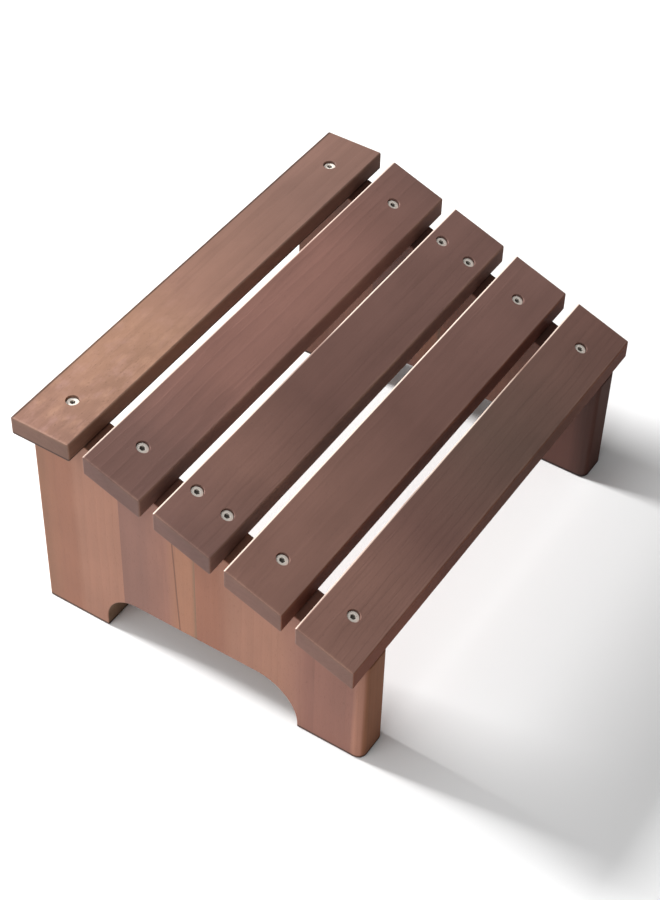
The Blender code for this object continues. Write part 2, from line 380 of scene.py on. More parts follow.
def near_edges(place, low, high, reach):
    """1 on the board's edges and 0 a reach away, because an edge is near two faces at once."""
    depths = [(part - a).lesser(b - part) for part, a, b in zip(place, low, high)]
    least = depths[0].lesser(depths[1]).lesser(depths[2])
    most = depths[0].greater(depths[1]).greater(depths[2])
    middle = depths[0] + depths[1] + depths[2] - least - most
    return middle.rise(reach, 0)


def own_frame(finish, board):
    """(x, y, z) in the board's own frame, with the lean of its long edges taken out."""
    sockets = {"Vector": finish.place(), "Location": board.middle, "Rotation": (board.tilt, 0, 0)}
    x, y, z = finish.split(finish.node("ShaderNodeMapping", {"vector_type": "TEXTURE"}, sockets))
    return x, y - z * math.tan(board.tilt), z


def growth_rings(board, parts, streak, blotch):
    """0 in pale early wood, rising to 1 in the dark late wood that ends each year's ring."""
    across, through = parts[1:]
    heart_across, heart_through = board.heart
    off_across = across - heart_across + blotch.swing(RING_WOBBLE)
    off_through = through - heart_through
    from_heart = (off_across**2 + off_through**2) ** 0.5
    ring = ((from_heart + streak.swing(RING_WIDTH)) / RING_WIDTH).part_after_point()
    return ring**3 * ring.rise(1.0, LATE_WOOD_PEAK)


def drifting_tone(finish, board, place, tones, streak, blotch):
    """The stain's tone, which drifts slowly along or across the board."""
    axis, start, end = board.drift
    share = (place["XYZ".index(axis)] - start) / (end - start)
    share = share + streak.swing(STREAK_TONE_WANDER) + blotch.swing(BLOTCH_TONE_WANDER)
    return finish.node("ShaderNodeValToRGB", {"stops": tones}, {"Fac": share})


def sawn_and_shaded_front(finish):
    """1 on faces that look to the front, which were sawn and not planed, and 0 elsewhere. It also
    places the painted shade of the slats' front faces.
    """
    return (finish.normal()[1] * -1).rise(0.55, 0.95)


def stained_wood(name, board, tones, worn, details):
    """Stained and varnished softwood. Tones are (share of the drift, colour) stops."""
    finish = Finish(name)
    place = own_frame(finish, board)
    # Parts are the way along the grain, the way across it and the way through the board.
    parts = place if board.grain == "X" else place[::-1]

    blotch = finish.cloud(stretched(finish, parts, BLOTCH_SIZE * 2, BLOTCH_SIZE, board.seed))
    streak = finish.cloud(stretched(finish, parts, STREAK_LENGTH, STREAK_WIDTH, board.seed), 3.0)
    fibre = finish.cloud(stretched(finish, parts, FIBRE_LENGTH, FIBRE_WIDTH, board.seed), 3.0, 0.6)
    pores = finish.cloud(stretched(finish, parts, PORE_LENGTH, PORE_WIDTH, board.seed), 1.0)
    pores = pores.rise(0.33, 0.26)
    late_wood = growth_rings(board, parts, streak, blotch)

    color = drifting_tone(finish, board, place, tones, streak, blotch)
    shade = 1 + streak.swing(STREAK_SHADE) + fibre.swing(FIBRE_SHADE) + blotch.swing(BLOTCH_SHADE)
    color = color * (shade - late_wood * LATE_WOOD_SHADE - pores * PORE_SHADE)

    rubbed = near_edges(place, board.low, board.high, RUBBED_REACH)
    rubbed = rubbed * (blotch * 0.6 + fibre * 0.8).rise(0.45, 0.95)
    color = finish.mix(color, worn, rubbed * RUBBED_STRENGTH)

    end_grain = abs(finish.normal()["XYZ".index(board.grain)]).rise(0.6, 0.9)
    color = color * (1 - end_grain * (END_GRAIN_SHADE + fibre * END_FIBRE_SHADE))
    for detail in details:
        color = detail(finish, place, streak, color)

    relief = fibre * 0.5 + late_wood * 0.35 - pores * 0.6 + streak * 0.4
    rough = VARNISH_ROUGHNESS + fibre * 0.14 + pores * 0.15 + rubbed * 0.12
    rough = rough + end_grain * 0.16 + sawn_and_shaded_front(finish) * SAWN_ROUGHNESS
    finish.surface({
        "Base Color": color,
        "Roughness": rough,
        "Normal": finish.bump(relief, WOOD_RELIEF),
        "Coat Weight": 0.05,
        "Coat Roughness": 0.35,
        "Specular IOR Level": 0.18,
    })
    return finish.material


print("Growth rings are", RING_WIDTH / MM, "mm apart")

# %% [markdown]
# ## Turning outlines into solids
#
# Slats and screws are stacks of outlines: a slat is one section repeated along its
# length, and a screw is one circle repeated along its axis with a changing size.
# So one helper that skins neighbouring outlines serves both. Holes are cut by
# Boolean modifiers afterwards, as a drill does. Round stretches are shaded smooth,
# and the Weighted Normal modifier keeps the large faces beside them flat.

# %% Solids from outlines
SHARP_EDGE = math.radians(32)
ROUND_SIDES = 36
ROUND_TURNS = [2 * math.pi * step / ROUND_SIDES for step in range(ROUND_SIDES)]


def circle(radius, height):
    """Points round the Z axis. With a radius of 0 they fall together on it."""
    return [(radius * math.cos(turn), radius * math.sin(turn), height) for turn in ROUND_TURNS]


def skin(form, outlines):
    """Faces between successive outlines; an outline's repeated vertex is a single point."""
    for lower, upper in zip(outlines, outlines[1:]):
        for here, corner in enumerate(lower):
            after = (here + 1) % len(lower)
            form.faces.new(dict.fromkeys((corner, lower[after], upper[after], upper[here])))


def mesh_from(form, name):
    bmesh.ops.recalc_face_normals(form, faces=form.faces)
    mesh = bpy.data.meshes.new(name)
    form.to_mesh(mesh)
    form.free()
    return mesh


def solid_mesh(name, outlines):
    """A solid skinned over outlines of points. The first and last one fall on one point each."""
    form = bmesh.new()
    rings = []
    for outline in outlines:
        if len(set(outline)) == 1:
            rings.append([form.verts.new(outline[0])] * len(outline))
        else:
            rings.append([form.verts.new(point) for point in outline])
    skin(form, rings)
    return mesh_from(form, name)


def add(name, mesh, place=None):
    piece = bpy.data.objects.new(name, mesh)
    piece.matrix_world = place or Matrix()
    bpy.context.scene.collection.objects.link(piece)
    return piece


def cut(piece, cutters, operation):
    """A Boolean with each of the cutters."""
    for cutter in cutters:
        modifier = piece.modifiers.new("cut", "BOOLEAN")
        modifier.operation = operation
        modifier.solver = "EXACT"
        modifier.object = cutter


def settle(piece):
    """Makes the modifiers' result the piece's own mesh, shaded as the real surface is."""
    bpy.context.view_layer.update()
    graph = bpy.context.evaluated_depsgraph_get()
    mesh = bpy.data.meshes.new_from_object(piece.evaluated_get(graph))
    piece.modifiers.clear()
    piece.data = mesh
    mesh.name = piece.name
    mesh.shade_smooth()
    mesh.set_sharp_from_angle(angle=SHARP_EDGE)
    weighted = piece.modifiers.new("flat faces stay flat", "WEIGHTED_NORMAL")
    weighted.keep_sharp = True


def dress(piece, node, finish):
    """The piece takes the node's place in the frame and its finish."""
    piece.data.materials.clear()
    piece.data.materials.append(finish)
    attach(piece, "root")
    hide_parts(node)


def open_edges(piece):
    """How many edges don't join exactly two faces. A solid has none."""
    form = bmesh.new()
    form.from_mesh(piece.data)
    count = sum(len(edge.link_faces) != 2 for edge in form.edges)
    form.free()
    return count


def misfit(piece, node):
    """The largest distance, in mm, between a piece's box and its node's box."""
    places = [piece.matrix_world @ vert.co for vert in piece.data.vertices]
    low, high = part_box(node)
    gaps = []
    for axis in range(3):
        gaps.append(abs(min(place[axis] for place in places) - low[axis]))
        gaps.append(abs(max(place[axis] for place in places) - high[axis]))
    return round(max(gaps) / MM, 3)


def report(piece, node):
    print(piece.name, "has", len(piece.data.polygons), "faces and", open_edges(piece), "open edges")
    print("It lies within", misfit(piece, node), "mm of its node")


print("Edges under", round(math.degrees(SHARP_EDGE)), "degrees are shaded smooth")

# %% [markdown]
# ## Where the slats lie
#
# The frame says where each slat is: a box round a board that only tilts about X has
# the board's middle as its own middle. The record names the sloping rest face, and
# its axis gives the slope. The long edges of a sloping slat are cut plumb, so its top
# is shifted rearwards by a little, and the section is a leaning parallelogram.

# %% Where the slats lie
SLAT_COUNT = 5
SCREW_PAIR_SPACING = 26.5 * MM
DOUBLE_SCREWED_SLAT = 3

mounts = {mount["name"]: mount for mount in frame["record"]["mounts"]}
slope_axis = mounts["slope_rest_face"]["axis"]
SLOPE = math.atan2(-slope_axis[1], slope_axis[2])
SLAT_LENGTH, SLAT_WIDTH, SLAT_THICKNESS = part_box("tread_slat_1")[1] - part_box("tread_slat_1")[0]


class Seat:
    """Where a slat lies, and where the screws go through it."""

    def __init__(self, number):
        low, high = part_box(f"tread_slat_{number}")
        self.number = number
        self.tilt = 0.0 if number == 1 else SLOPE
        self.lean = SLAT_THICKNESS * math.tan(self.tilt)
        self.middle = (low + high) / 2
        self.place = Matrix.Translation(self.middle) @ Matrix.Rotation(self.tilt, 4, "X")

    def screws(self):
        """(name ending, offset across the slat) of the screws at each end."""
        if self.number == DOUBLE_SCREWED_SLAT:
            return [("3_rear", SCREW_PAIR_SPACING / 2), ("3_front", -SCREW_PAIR_SPACING / 2)]
        return [(str(self.number), 0.0)]

    def on_top(self, x, across, depth):
        """The place of something that stands upright on the slat, sunk in by the depth."""
        spot = Vector((x, self.lean / 2 + across, SLAT_THICKNESS / 2 - depth))
        return self.place @ Matrix.Translation(spot)


seats = [Seat(number) for number in range(1, SLAT_COUNT + 1)]
print("Slats of", SLAT_LENGTH / MM, SLAT_WIDTH / MM, SLAT_THICKNESS / MM, "mm")
print("Slope of", round(math.degrees(SLOPE), 2), "degrees")

# %% [markdown]
# ## The screws
#
# Twelve machine-made screws hold the slats down. Only their heads show, sunk in
# counterbores: a low dome, a turned rim and a hexagonal socket. A hexagon could be
# cut out with a Boolean, but then its mouth would stay knife-sharp. Here the circle
# turns into the hexagon outline by outline, with the same count of points, so the
# mouth is eased like the real one. The thread is a ridge that climbs one pitch a
# turn. It hides in the wood, but the piece is whole when it is taken out.

# %% The screws
HEAD_RADIUS = 4.7 * MM
HEAD_HEIGHT = 3 * MM
HEAD_DOME = 0.5 * MM
HEAD_RECESS = 1.5 * MM
HEAD_EASING = 0.4 * MM
SOCKET_ACROSS_FLATS = 4 * MM
SOCKET_DEPTH = 2 * MM
SOCKET_EASING = 0.25 * MM
DRILL_POINT_RADIUS = 1.6 * MM
DRILL_POINT_DEPTH = 0.5 * MM
SCREW_LENGTH = 50 * MM
SCREW_TIP_LENGTH = 4 * MM
PLAIN_SHANK_LENGTH = 16 * MM
THREAD_RADIUS = 2.95 * MM
CORE_RADIUS = 2.2 * MM
THREAD_PITCH = 2.5 * MM
RIDGE_SHARE = 0.5
RINGS_PER_PITCH = 6
CROWN_STEPS = 3
EASING_STEPS = 4
SEAT_DEPTH = HEAD_RECESS + HEAD_HEIGHT


def quarter_round(radius, steps):
    """(run, rise) from (0, 0) to (radius, radius), starting flat and ending upright."""
    turns = [math.pi / 2 * step / steps for step in range(steps + 1)]
    return [(radius * math.sin(turn), radius * (1 - math.cos(turn))) for turn in turns]


def hexagon(across_flats, height):
    """Points on a hexagon at the same turns as a circle's, its corners among them."""
    points = []
    for turn in ROUND_TURNS:
        from_flat = (turn + math.pi / 6) % (math.pi / 3) - math.pi / 6
        reach = across_flats / 2 / math.cos(from_flat)
        points.append((reach * math.cos(turn), reach * math.sin(turn), height))
    return points


def thread_ring(height):
    """A slice through the thread, whose ridge takes a share of the pitch and climbs with it."""
    points = []
    for turn in ROUND_TURNS:
        phase = (height / THREAD_PITCH - turn / (2 * math.pi)) % 1
        ridge = max(0.0, 1 - abs(phase - 0.5) * 2 / RIDGE_SHARE)
        run_in = min(1.0, (-PLAIN_SHANK_LENGTH - height) / THREAD_PITCH)
        radius = CORE_RADIUS + (THREAD_RADIUS - CORE_RADIUS) * ridge * run_in
        radius = min(radius, THREAD_RADIUS * (height + SCREW_LENGTH) / SCREW_TIP_LENGTH)
        points.append((radius * math.cos(turn), radius * math.sin(turn), height))
    return points


def dome_height(radius):
    """Height of the head's crowned top at a distance from its axis."""
    return HEAD_HEIGHT - HEAD_DOME * (radius / HEAD_RADIUS) ** 2


def screw_outlines():
    """Outlines of a screw from the floor of its socket, over the head, to the tip."""
    socket_floor = HEAD_HEIGHT - SOCKET_DEPTH
    socket_corner = SOCKET_ACROSS_FLATS / math.sqrt(3)
    outlines = [circle(0, socket_floor - DRILL_POINT_DEPTH)]
    outlines.append(circle(DRILL_POINT_RADIUS, socket_floor))
    outlines.append(hexagon(SOCKET_ACROSS_FLATS, socket_floor))
    for run, rise in quarter_round(SOCKET_EASING, EASING_STEPS)[::-1]:
        mouth = SOCKET_ACROSS_FLATS + 2 * (SOCKET_EASING - run)
        outlines.append(hexagon(mouth, dome_height(mouth / 2) - rise))
    flat_start = socket_corner + 2 * SOCKET_EASING
    flat_end = HEAD_RADIUS - HEAD_EASING
    for step in range(CROWN_STEPS + 1):
        radius = flat_start + (flat_end - flat_start) * step / CROWN_STEPS
        outlines.append(circle(radius, dome_height(radius)))
    for run, rise in quarter_round(HEAD_EASING, EASING_STEPS)[1:]:
        outlines.append(circle(flat_end + run, dome_height(flat_end) - rise))
    outlines.append(circle(HEAD_RADIUS, HEAD_EASING / 2))
    outlines.append(circle(HEAD_RADIUS - HEAD_EASING / 2, 0))
    outlines.append(circle(CORE_RADIUS + HEAD_EASING / 2, 0))
    outlines.append(circle(CORE_RADIUS, -HEAD_EASING / 2))
    height = -PLAIN_SHANK_LENGTH
    while height > -SCREW_LENGTH + THREAD_PITCH / RINGS_PER_PITCH:
        outlines.append(thread_ring(height))
        height -= THREAD_PITCH / RINGS_PER_PITCH
    outlines.append(circle(0, -SCREW_LENGTH))
    return outlines


screw_form = solid_mesh("hex_socket_screw", screw_outlines())
print("A screw has", len(screw_form.polygons), "faces")

# %% [markdown]
# ## The plated steel of the screws
#
# The heads have a pale satin plating. It scatters light nearly as cream paint does,
# so it is only part metal here. Turned metal isn't evenly smooth: the tool leaves
# fine rings round the axis, and handling leaves scratches. Both change only how the
# surface shines, so they go into the roughness and the bump. The socket holds old
# oil and dust, so it is duller the deeper it goes, and it is darker the deeper it
# goes, partly from that grime and partly as painted shade of the deep socket.

# %% The plated steel
PLATING = "FFFAF2"
DUSTY_PLATING = "F4E9DC"
# Old oil in the socket, darkened further as painted shade of its depth.
OLD_OIL_AND_SHADE = "2A231C"
TOOL_MARK_SPACING = 0.18 * MM
SCRATCH_LENGTH = 3 * MM
SCRATCH_WIDTH = 0.12 * MM
SCRATCH_DEPTH = 1 * MM
DUST_SIZE = 1.6 * MM
GRIME_AND_SHADE_RIM_RADIUS = 0.58 * SOCKET_ACROSS_FLATS
GRIME_AND_SHADE_FULL_RADIUS = 0.48 * SOCKET_ACROSS_FLATS
GRIME_AND_SHADE_START_DEPTH = 0.3 * MM
GRIME_AND_SHADE_FULL_DEPTH = 1.3 * MM
STEEL_RELIEF = 0.02 * MM


def plated_steel():
    finish = Finish("plated_steel")
    place = finish.place()
    x, y, z = finish.split(place)
    from_axis = (x**2 + y**2) ** 0.5
    turning = finish.join(from_axis / TOOL_MARK_SPACING, z / TOOL_MARK_SPACING, 0.0)
    tool_marks = finish.cloud(turning, 2.0)
    dust = finish.cloud(place * (1 / DUST_SIZE), 3.0)
    handling = finish.join(x / SCRATCH_LENGTH, y / SCRATCH_WIDTH, z / SCRATCH_DEPTH)
    scratches = finish.cloud(handling, 2.0).rise(0.62, 0.7)
    in_socket = from_axis.rise(GRIME_AND_SHADE_RIM_RADIUS, GRIME_AND_SHADE_FULL_RADIUS)
    sunk = z.rise(HEAD_HEIGHT - GRIME_AND_SHADE_START_DEPTH, HEAD_HEIGHT - GRIME_AND_SHADE_FULL_DEPTH)
    grime_and_shade = in_socket * sunk
    bright = finish.mix(paint(PLATING), paint(DUSTY_PLATING), dust)
    # Grime and painted shade darken the socket the deeper it goes.
    color = finish.mix(bright, paint(OLD_OIL_AND_SHADE), grime_and_shade * 0.95)
    color = color * (1 - scratches * 0.08)
    finish.surface({
        "Base Color": color,
        "Metallic": 0.12 - grime_and_shade * 0.1 + scratches * 0.3,
        "Roughness": 0.38 + tool_marks * 0.12 + dust * 0.08 + grime_and_shade * 0.3 + scratches * 0.1,
        "Normal": finish.bump(tool_marks * 0.6 + scratches * 0.4, STEEL_RELIEF),
    })
    return finish.material


screw_steel = plated_steel()
print("Steel nodes:", len(screw_steel.node_tree.nodes))

# %% [markdown]
# ## Fitting the screws, and the drill that makes room for them
#
# One mesh serves all twelve screws. Each screw stands where its node stands, upright
# on its slat, and a drill in the same place cuts the counterbore and the bore.
# The drill flares at the wood's surface, which eases the mouth of the hole. The
# flare ends a hair past the surface, because a Boolean can fail where an edge of one
# solid lies in a face of the other.

# %% Screws in place
FIT_GAP = 0.3 * MM
SHANK_RADIUS = 3 * MM
BORE_TIP_ROOM = 2 * MM
MOUTH_EASING = 0.3 * MM
PAST_SURFACE = 0.04 * MM
DRILL_CLEARANCE = 5 * MM
SIDES = {"left": -1, "right": 1}


def drill_mesh():
    """Counterbore and bore, open upwards. Z = 0 is under the screw's head."""
    counterbore = HEAD_RADIUS + FIT_GAP
    bore = SHANK_RADIUS + FIT_GAP
    profile = [(0, -SCREW_LENGTH - BORE_TIP_ROOM), (bore, -SCREW_LENGTH - BORE_TIP_ROOM)]
    profile += [(bore, -FIT_GAP), (counterbore, -FIT_GAP)]
    for run, rise in quarter_round(MOUTH_EASING, EASING_STEPS):
        profile.append((counterbore + rise, SEAT_DEPTH - MOUTH_EASING + PAST_SURFACE + run))
    profile.append((counterbore + MOUTH_EASING, SEAT_DEPTH + DRILL_CLEARANCE))
    profile.append((0, SEAT_DEPTH + DRILL_CLEARANCE))
    return solid_mesh("drill", [circle(radius, height) for radius, height in profile])


drill_form = drill_mesh()
# Each drill is listed twice: under its panel's side and under its slat's number.
drills = {key: [] for key in [*SIDES, *range(1, SLAT_COUNT + 1)]}
worst = 0
for side in SIDES:
    for seat in seats:
        for ending, across in seat.screws():
            node = f"screw_{side}_{ending}"
            low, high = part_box(node)
            stand = seat.on_top((low.x + high.x) / 2, across, SEAT_DEPTH)
            screw = add(f"hex_{node}", screw_form, stand)
            settle(screw)
            dress(screw, node, screw_steel)
            worst = max(worst, misfit(screw, node))
            drill = add(f"drill_{side}_{ending}", drill_form, stand)
            drills[side].append(drill)
            drills[seat.number].append(drill)
print("Screws lie within", worst, "mm of their nodes")

# %% [markdown]
# ## The slats
#
# A slat is a planed board with its long edges rounded over and its ends lightly
# sanded. A bevelled box would give that, but too evenly: an edge sanded by hand
# wanders. So the section is drawn with its own corner rounding, repeated every few
# millimetres along the board, and each corner's radius drifts a little as it goes.
# The flat faces stay truly flat, because only the corners change.

# %% The slats
SLAT_EDGE_RADIUS = 1.5 * MM
EDGE_WANDER = 0.25 * MM
WANDER_LENGTH = 45 * MM
SLAT_END_EASING = 1.2 * MM
SLAT_EDGE_STEPS = 8
SECTION_SPACING = 6 * MM
CORNER_SEED_STEP = 7.3
SLAT_SEED_STEP = 3.1


def slat_corners(lean):
    """(y, z) corners of a slat's section round its middle, in its own tilted frame."""
    half_width = SLAT_WIDTH / 2
    half_height = SLAT_THICKNESS / 2
    return [
        (half_width - lean / 2, -half_height),
        (half_width + lean / 2, half_height),
        (lean / 2 - half_width, half_height),
        (-lean / 2 - half_width, -half_height),
    ]


def rounded(corners, radii, inset):
    """The outline with each corner rounded, drawn in by the inset all the way round."""
    outline = []
    for here, point in enumerate(corners):
        corner = Vector(point)
        back = (Vector(corners[here - 1]) - corner).normalized()
        ahead = (Vector(corners[(here + 1) % len(corners)]) - corner).normalized()
        half_angle = back.angle(ahead) / 2
        radius = radii[here]
        center = corner + (back + ahead).normalized() * radius / math.sin(half_angle)
        to_tangent = radius / math.tan(half_angle)
        start = (corner + back * to_tangent - center).normalized()
        end = (corner + ahead * to_tangent - center).normalized()
        for step in range(SLAT_EDGE_STEPS + 1):
            toward = start.slerp(end, step / SLAT_EDGE_STEPS)
            outline.append(center + toward * (radius - inset))
    return outline


def section_stations():
    """(x, inset) of the sections along a slat, closer together round its eased ends."""
    half = SLAT_LENGTH / 2
    end = []
    for run, rise in quarter_round(SLAT_END_EASING, EASING_STEPS):
        end.append((half - rise, SLAT_END_EASING - run))
    straight = half - SLAT_END_EASING
    count = round(2 * straight / SECTION_SPACING)
    middle = [(straight - 2 * straight * step / count, 0.0) for step in range(1, count)]
    return end + middle + [(-x, inset) for x, inset in end[::-1]]


def slat_mesh(seat):
    corners = slat_corners(seat.lean)
    form = bmesh.new()
    rings = []
    for x, inset in section_stations():
        radii = []
        for corner in range(len(corners)):
            spot = (x / WANDER_LENGTH, corner * CORNER_SEED_STEP, seat.number * SLAT_SEED_STEP)
            radii.append(SLAT_EDGE_RADIUS + EDGE_WANDER * noise.noise(Vector(spot)))
        outline = rounded(corners, radii, inset)
        rings.append([form.verts.new((x, y, z)) for y, z in outline])
    skin(form, rings)
    form.faces.new(rings[0])
    form.faces.new(rings[-1])
    form.transform(seat.place)
    return mesh_from(form, f"slat_{seat.number}")


print("A slat has", len(section_stations()), "sections")

# %% [markdown]
# ## Tones of the slats
#
# The boards come from different trees, so no two take the stain alike. The level slat
# is the palest and the most mottled. The second is redder in the middle, and the
# others are walnut brown and darker there. The tones are named as a finisher would
# call them, and each slat lists where along its length, from 0 to 1, they lie.
#
# Other marks are painted on. Each slat is a shade darker towards its front. The front
# faces carry painted shade, because they turn away from the light, deepest on the two
# front slats. A thin dark line runs along some edges of the level slat, and a painted
# highlight runs along the rear edge of the sloping slats, where the light from behind
# catches it. Every mark is a small function that takes the colour so far and gives
# back the new one, so a finish is simply a list of marks.

# %% Slats in place
STAINS = {
    "tan": "93705D",
    "clay": "8A685A",
    "faded walnut": "7A5D53",
    "umber": "82625A",
    "rosewood": "9A7166",
    "walnut": "8B685D",
    "dark walnut": "775850",
    "deep walnut": "6C554C",
}
SLAT_TONES = {
    1: [(0.0, "clay"), (0.2, "tan"), (0.32, "tan"), (0.44, "clay"), (0.8, "faded walnut")],
    2: [(0.12, "umber"), (0.32, "rosewood"), (0.7, "rosewood"), (1.0, "umber")],
    3: [(0.0, "umber"), (0.2, "walnut"), (0.4, "dark walnut"), (1.0, "umber")],
    4: [(0.25, "walnut"), (0.5, "dark walnut"), (1.0, "umber")],
    5: [(0.18, "walnut"), (0.32, "dark walnut"), (0.6, "deep walnut"), (1.0, "dark walnut")],
}
# Tints of the painted shade on the slats' front faces, which turn away from the light.
LIGHT_FRONT_SHADE = (0.94, 0.88, 0.80)
DEEP_FRONT_SHADE = (0.72, 0.46, 0.36)
FRONT_SHADES = {
    1: LIGHT_FRONT_SHADE,
    2: LIGHT_FRONT_SHADE,
    3: LIGHT_FRONT_SHADE,
    4: DEEP_FRONT_SHADE,
    5: DEEP_FRONT_SHADE,
}
DARK_LINE_START = 2.8 * MM
DARK_LINE_END = 1.9 * MM
DARK_LINE_STRENGTH = 0.6
FRONTWARD_DARKENING = 0.1
FRONTWARD_REACH = 0.35 * SLAT_WIDTH
SLAT_WORN = "B08C78"
# A painted highlight, where the rear top edges of the sloping slats catch the light from behind.
REAR_HIGHLIGHT = "F2E0D2"
REAR_HIGHLIGHT_START = 2.2 * MM
REAR_HIGHLIGHT_END = 1.5 * MM
REAR_HIGHLIGHT_STRENGTH = 0.75
MOTTLE_YELLOW = "B99078"
MOTTLE_PINK = "B08A80"
MOTTLE_START_X = 0.05 * SLAT_LENGTH
MOTTLE_FULL_X = -0.4 * SLAT_LENGTH
MOTTLE_STRENGTH = 0.45
PATCH_LENGTH = 14.4 * MM
PATCH_WIDTH = 9 * MM
PATCH_SEED = 4.2
HUE_LENGTH = 22.5 * MM
HUE_SEED = 9.1
FLECK_LENGTH = 3.5 * MM
FLECK_WIDTH = 1.2 * MM
FLECK_SEED = 6.6
FLECK_STRENGTH = 0.25
SLAT_FIGURE_STEP = 11.7
SLAT_HEARTS = {
    1: (10 * MM, -38 * MM),
    2: (-22 * MM, -46 * MM),
    3: (15 * MM, 52 * MM),
    4: (-6 * MM, -60 * MM),
    5: (26 * MM, 40 * MM),
}


def front_face_shade(stain):
    """Painted shade on the front faces, which turn away from the light; the tint sets how deep it is.
    """

    def detail(finish, place, streak, color):
        return finish.mix(color, color.tinted(stain), sawn_and_shaded_front(finish))

    return detail


def rear_edge_highlight(finish, place, streak, color):
    """A painted highlight along the rounded top edge at the rear of a sloping slat, where it catches
    the light from behind.
    """
    y, z = place[1:]
    from_edge = (SLAT_WIDTH / 2 - y) + (SLAT_THICKNESS / 2 - z)
    highlight = from_edge.rise(REAR_HIGHLIGHT_START, REAR_HIGHLIGHT_END) * streak.rise(0.3, 0.5)
    return finish.mix(color, paint(REAR_HIGHLIGHT), highlight * REAR_HIGHLIGHT_STRENGTH)


def dark_edge_lines(finish, place, streak, color):
    """A thin dark line along the rear and the lower edges of the level slat."""
    y, z = place[1:]
    from_rear_edge = (SLAT_WIDTH / 2 - y) + (SLAT_THICKNESS / 2 - z)
    rear_line = from_rear_edge.rise(DARK_LINE_START, DARK_LINE_END)
    lower_line = (z + SLAT_THICKNESS / 2).rise(DARK_LINE_START, DARK_LINE_END)
    return color * (1 - rear_line.greater(lower_line) * DARK_LINE_STRENGTH)


def mottle(finish, place, streak, color):
    """Pale pink and yellow patches with dark flecks, strongest by the near end."""
    x, y = place[:2]
    on_top = finish.normal()[2].rise(0.5, 0.9)
    near = x.rise(MOTTLE_START_X, MOTTLE_FULL_X) * on_top
    patch = finish.cloud(finish.join(x / PATCH_LENGTH, y / PATCH_WIDTH, PATCH_SEED), 3.0, 0.6)
    hue = finish.cloud(finish.join(x / HUE_LENGTH, y / PATCH_WIDTH, HUE_SEED), 2.0)
    pale = finish.mix(paint(MOTTLE_YELLOW), paint(MOTTLE_PINK), hue.rise(0.4, 0.6))
    color = finish.mix(color, pale, patch.rise(0.4, 0.75) * near * MOTTLE_STRENGTH)
    fleck = finish.cloud(finish.join(x / FLECK_LENGTH, y / FLECK_WIDTH, FLECK_SEED), 2.0)
    return color * (1 - fleck.rise(0.62, 0.74) * near * FLECK_STRENGTH)


def deeper_towards_front(finish, place, streak, color):
    """Each slat is a shade lighter at its rear and a shade darker at its front."""
    forward = place[1].rise(FRONTWARD_REACH, -FRONTWARD_REACH)
    return color * (1 + FRONTWARD_DARKENING / 2 - forward * FRONTWARD_DARKENING)


def slat_finish(seat):
    """The finish of one slat, with the marks that only some of them have."""
    half_size = Vector((SLAT_LENGTH, SLAT_WIDTH, SLAT_THICKNESS)) / 2
    own_marks = [mottle, dark_edge_lines] if seat.number == 1 else [rear_edge_highlight]
    details = [deeper_towards_front, *own_marks, front_face_shade(FRONT_SHADES[seat.number])]
    board = Board(
        low=-half_size,
        high=half_size,
        grain="X",
        drift=("X", -SLAT_LENGTH / 2, SLAT_LENGTH / 2),
        heart=SLAT_HEARTS[seat.number],
        seed=seat.number * SLAT_FIGURE_STEP,
        middle=seat.middle,
        tilt=seat.tilt,
    )
    tones = [(share, paint(STAINS[stain])) for share, stain in SLAT_TONES[seat.number]]
    return stained_wood(f"slat_wood_{seat.number}", board, tones, paint(SLAT_WORN), details)


for seat in seats:
    slat = add(f"tread_board_{seat.number}", slat_mesh(seat))
    cut(slat, drills[seat.number], "DIFFERENCE")
    settle(slat)
    node = f"tread_slat_{seat.number}"
    dress(slat, node, slat_finish(seat))
    report(slat, node)

# %% [markdown]
# ## The side panels
#
# Each panel is five upright staves glued edge to edge, planed flush and then sawn to
# shape as one board: level on top, then sloping, with an arch between two feet. So
# the whole board is made first, its two upright front edges are rounded and the rest
# eased, and only then is it parted at the glue lines. Each stave is a piece of its
# own, and the faces still meet without a step. The glue lines come from the frame's
# boxes.

# %% The side panels
ARCH_REAR_RADIUS = 28 * MM
ARCH_FRONT_RADIUS = 35 * MM
FRONT_EDGE_RADIUS = 7 * MM
PANEL_EASING = 1 * MM
ARC_STEPS = 20
FRONT_EDGE_STEPS = 12
STAVE_COUNT = 5
BLOCK_MARGIN = 10 * MM
SAME_PLACE = 0.01 * MM
ROUND_PROFILE = 0.5

stave_boxes = [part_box(f"left_side_stave_{number}") for number in range(1, STAVE_COUNT + 1)]
PANEL_REAR_Y = stave_boxes[0][1].y
PANEL_FRONT_Y = stave_boxes[-1][0].y
PANEL_HEIGHT = stave_boxes[0][1].z
OUTER_FACE_X = -stave_boxes[0][0].x
INNER_FACE_X = -stave_boxes[0][1].x
CREASE_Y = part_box("tread_slat_1")[0].y
ARCH_HEIGHT = 38 * MM
FOOT_LENGTH = 55 * MM
GLUE_LINES = [low.y for low, high in stave_boxes[:-1]]


def arc(center, radius, start, end):
    """(y, z) points on an arc, its angles in degrees from +Y towards +Z."""
    points = []
    for step in range(ARC_STEPS + 1):
        turn = math.radians(start + (end - start) * step / ARC_STEPS)
        points.append((center[0] + radius * math.cos(turn), center[1] + radius * math.sin(turn)))
    return points


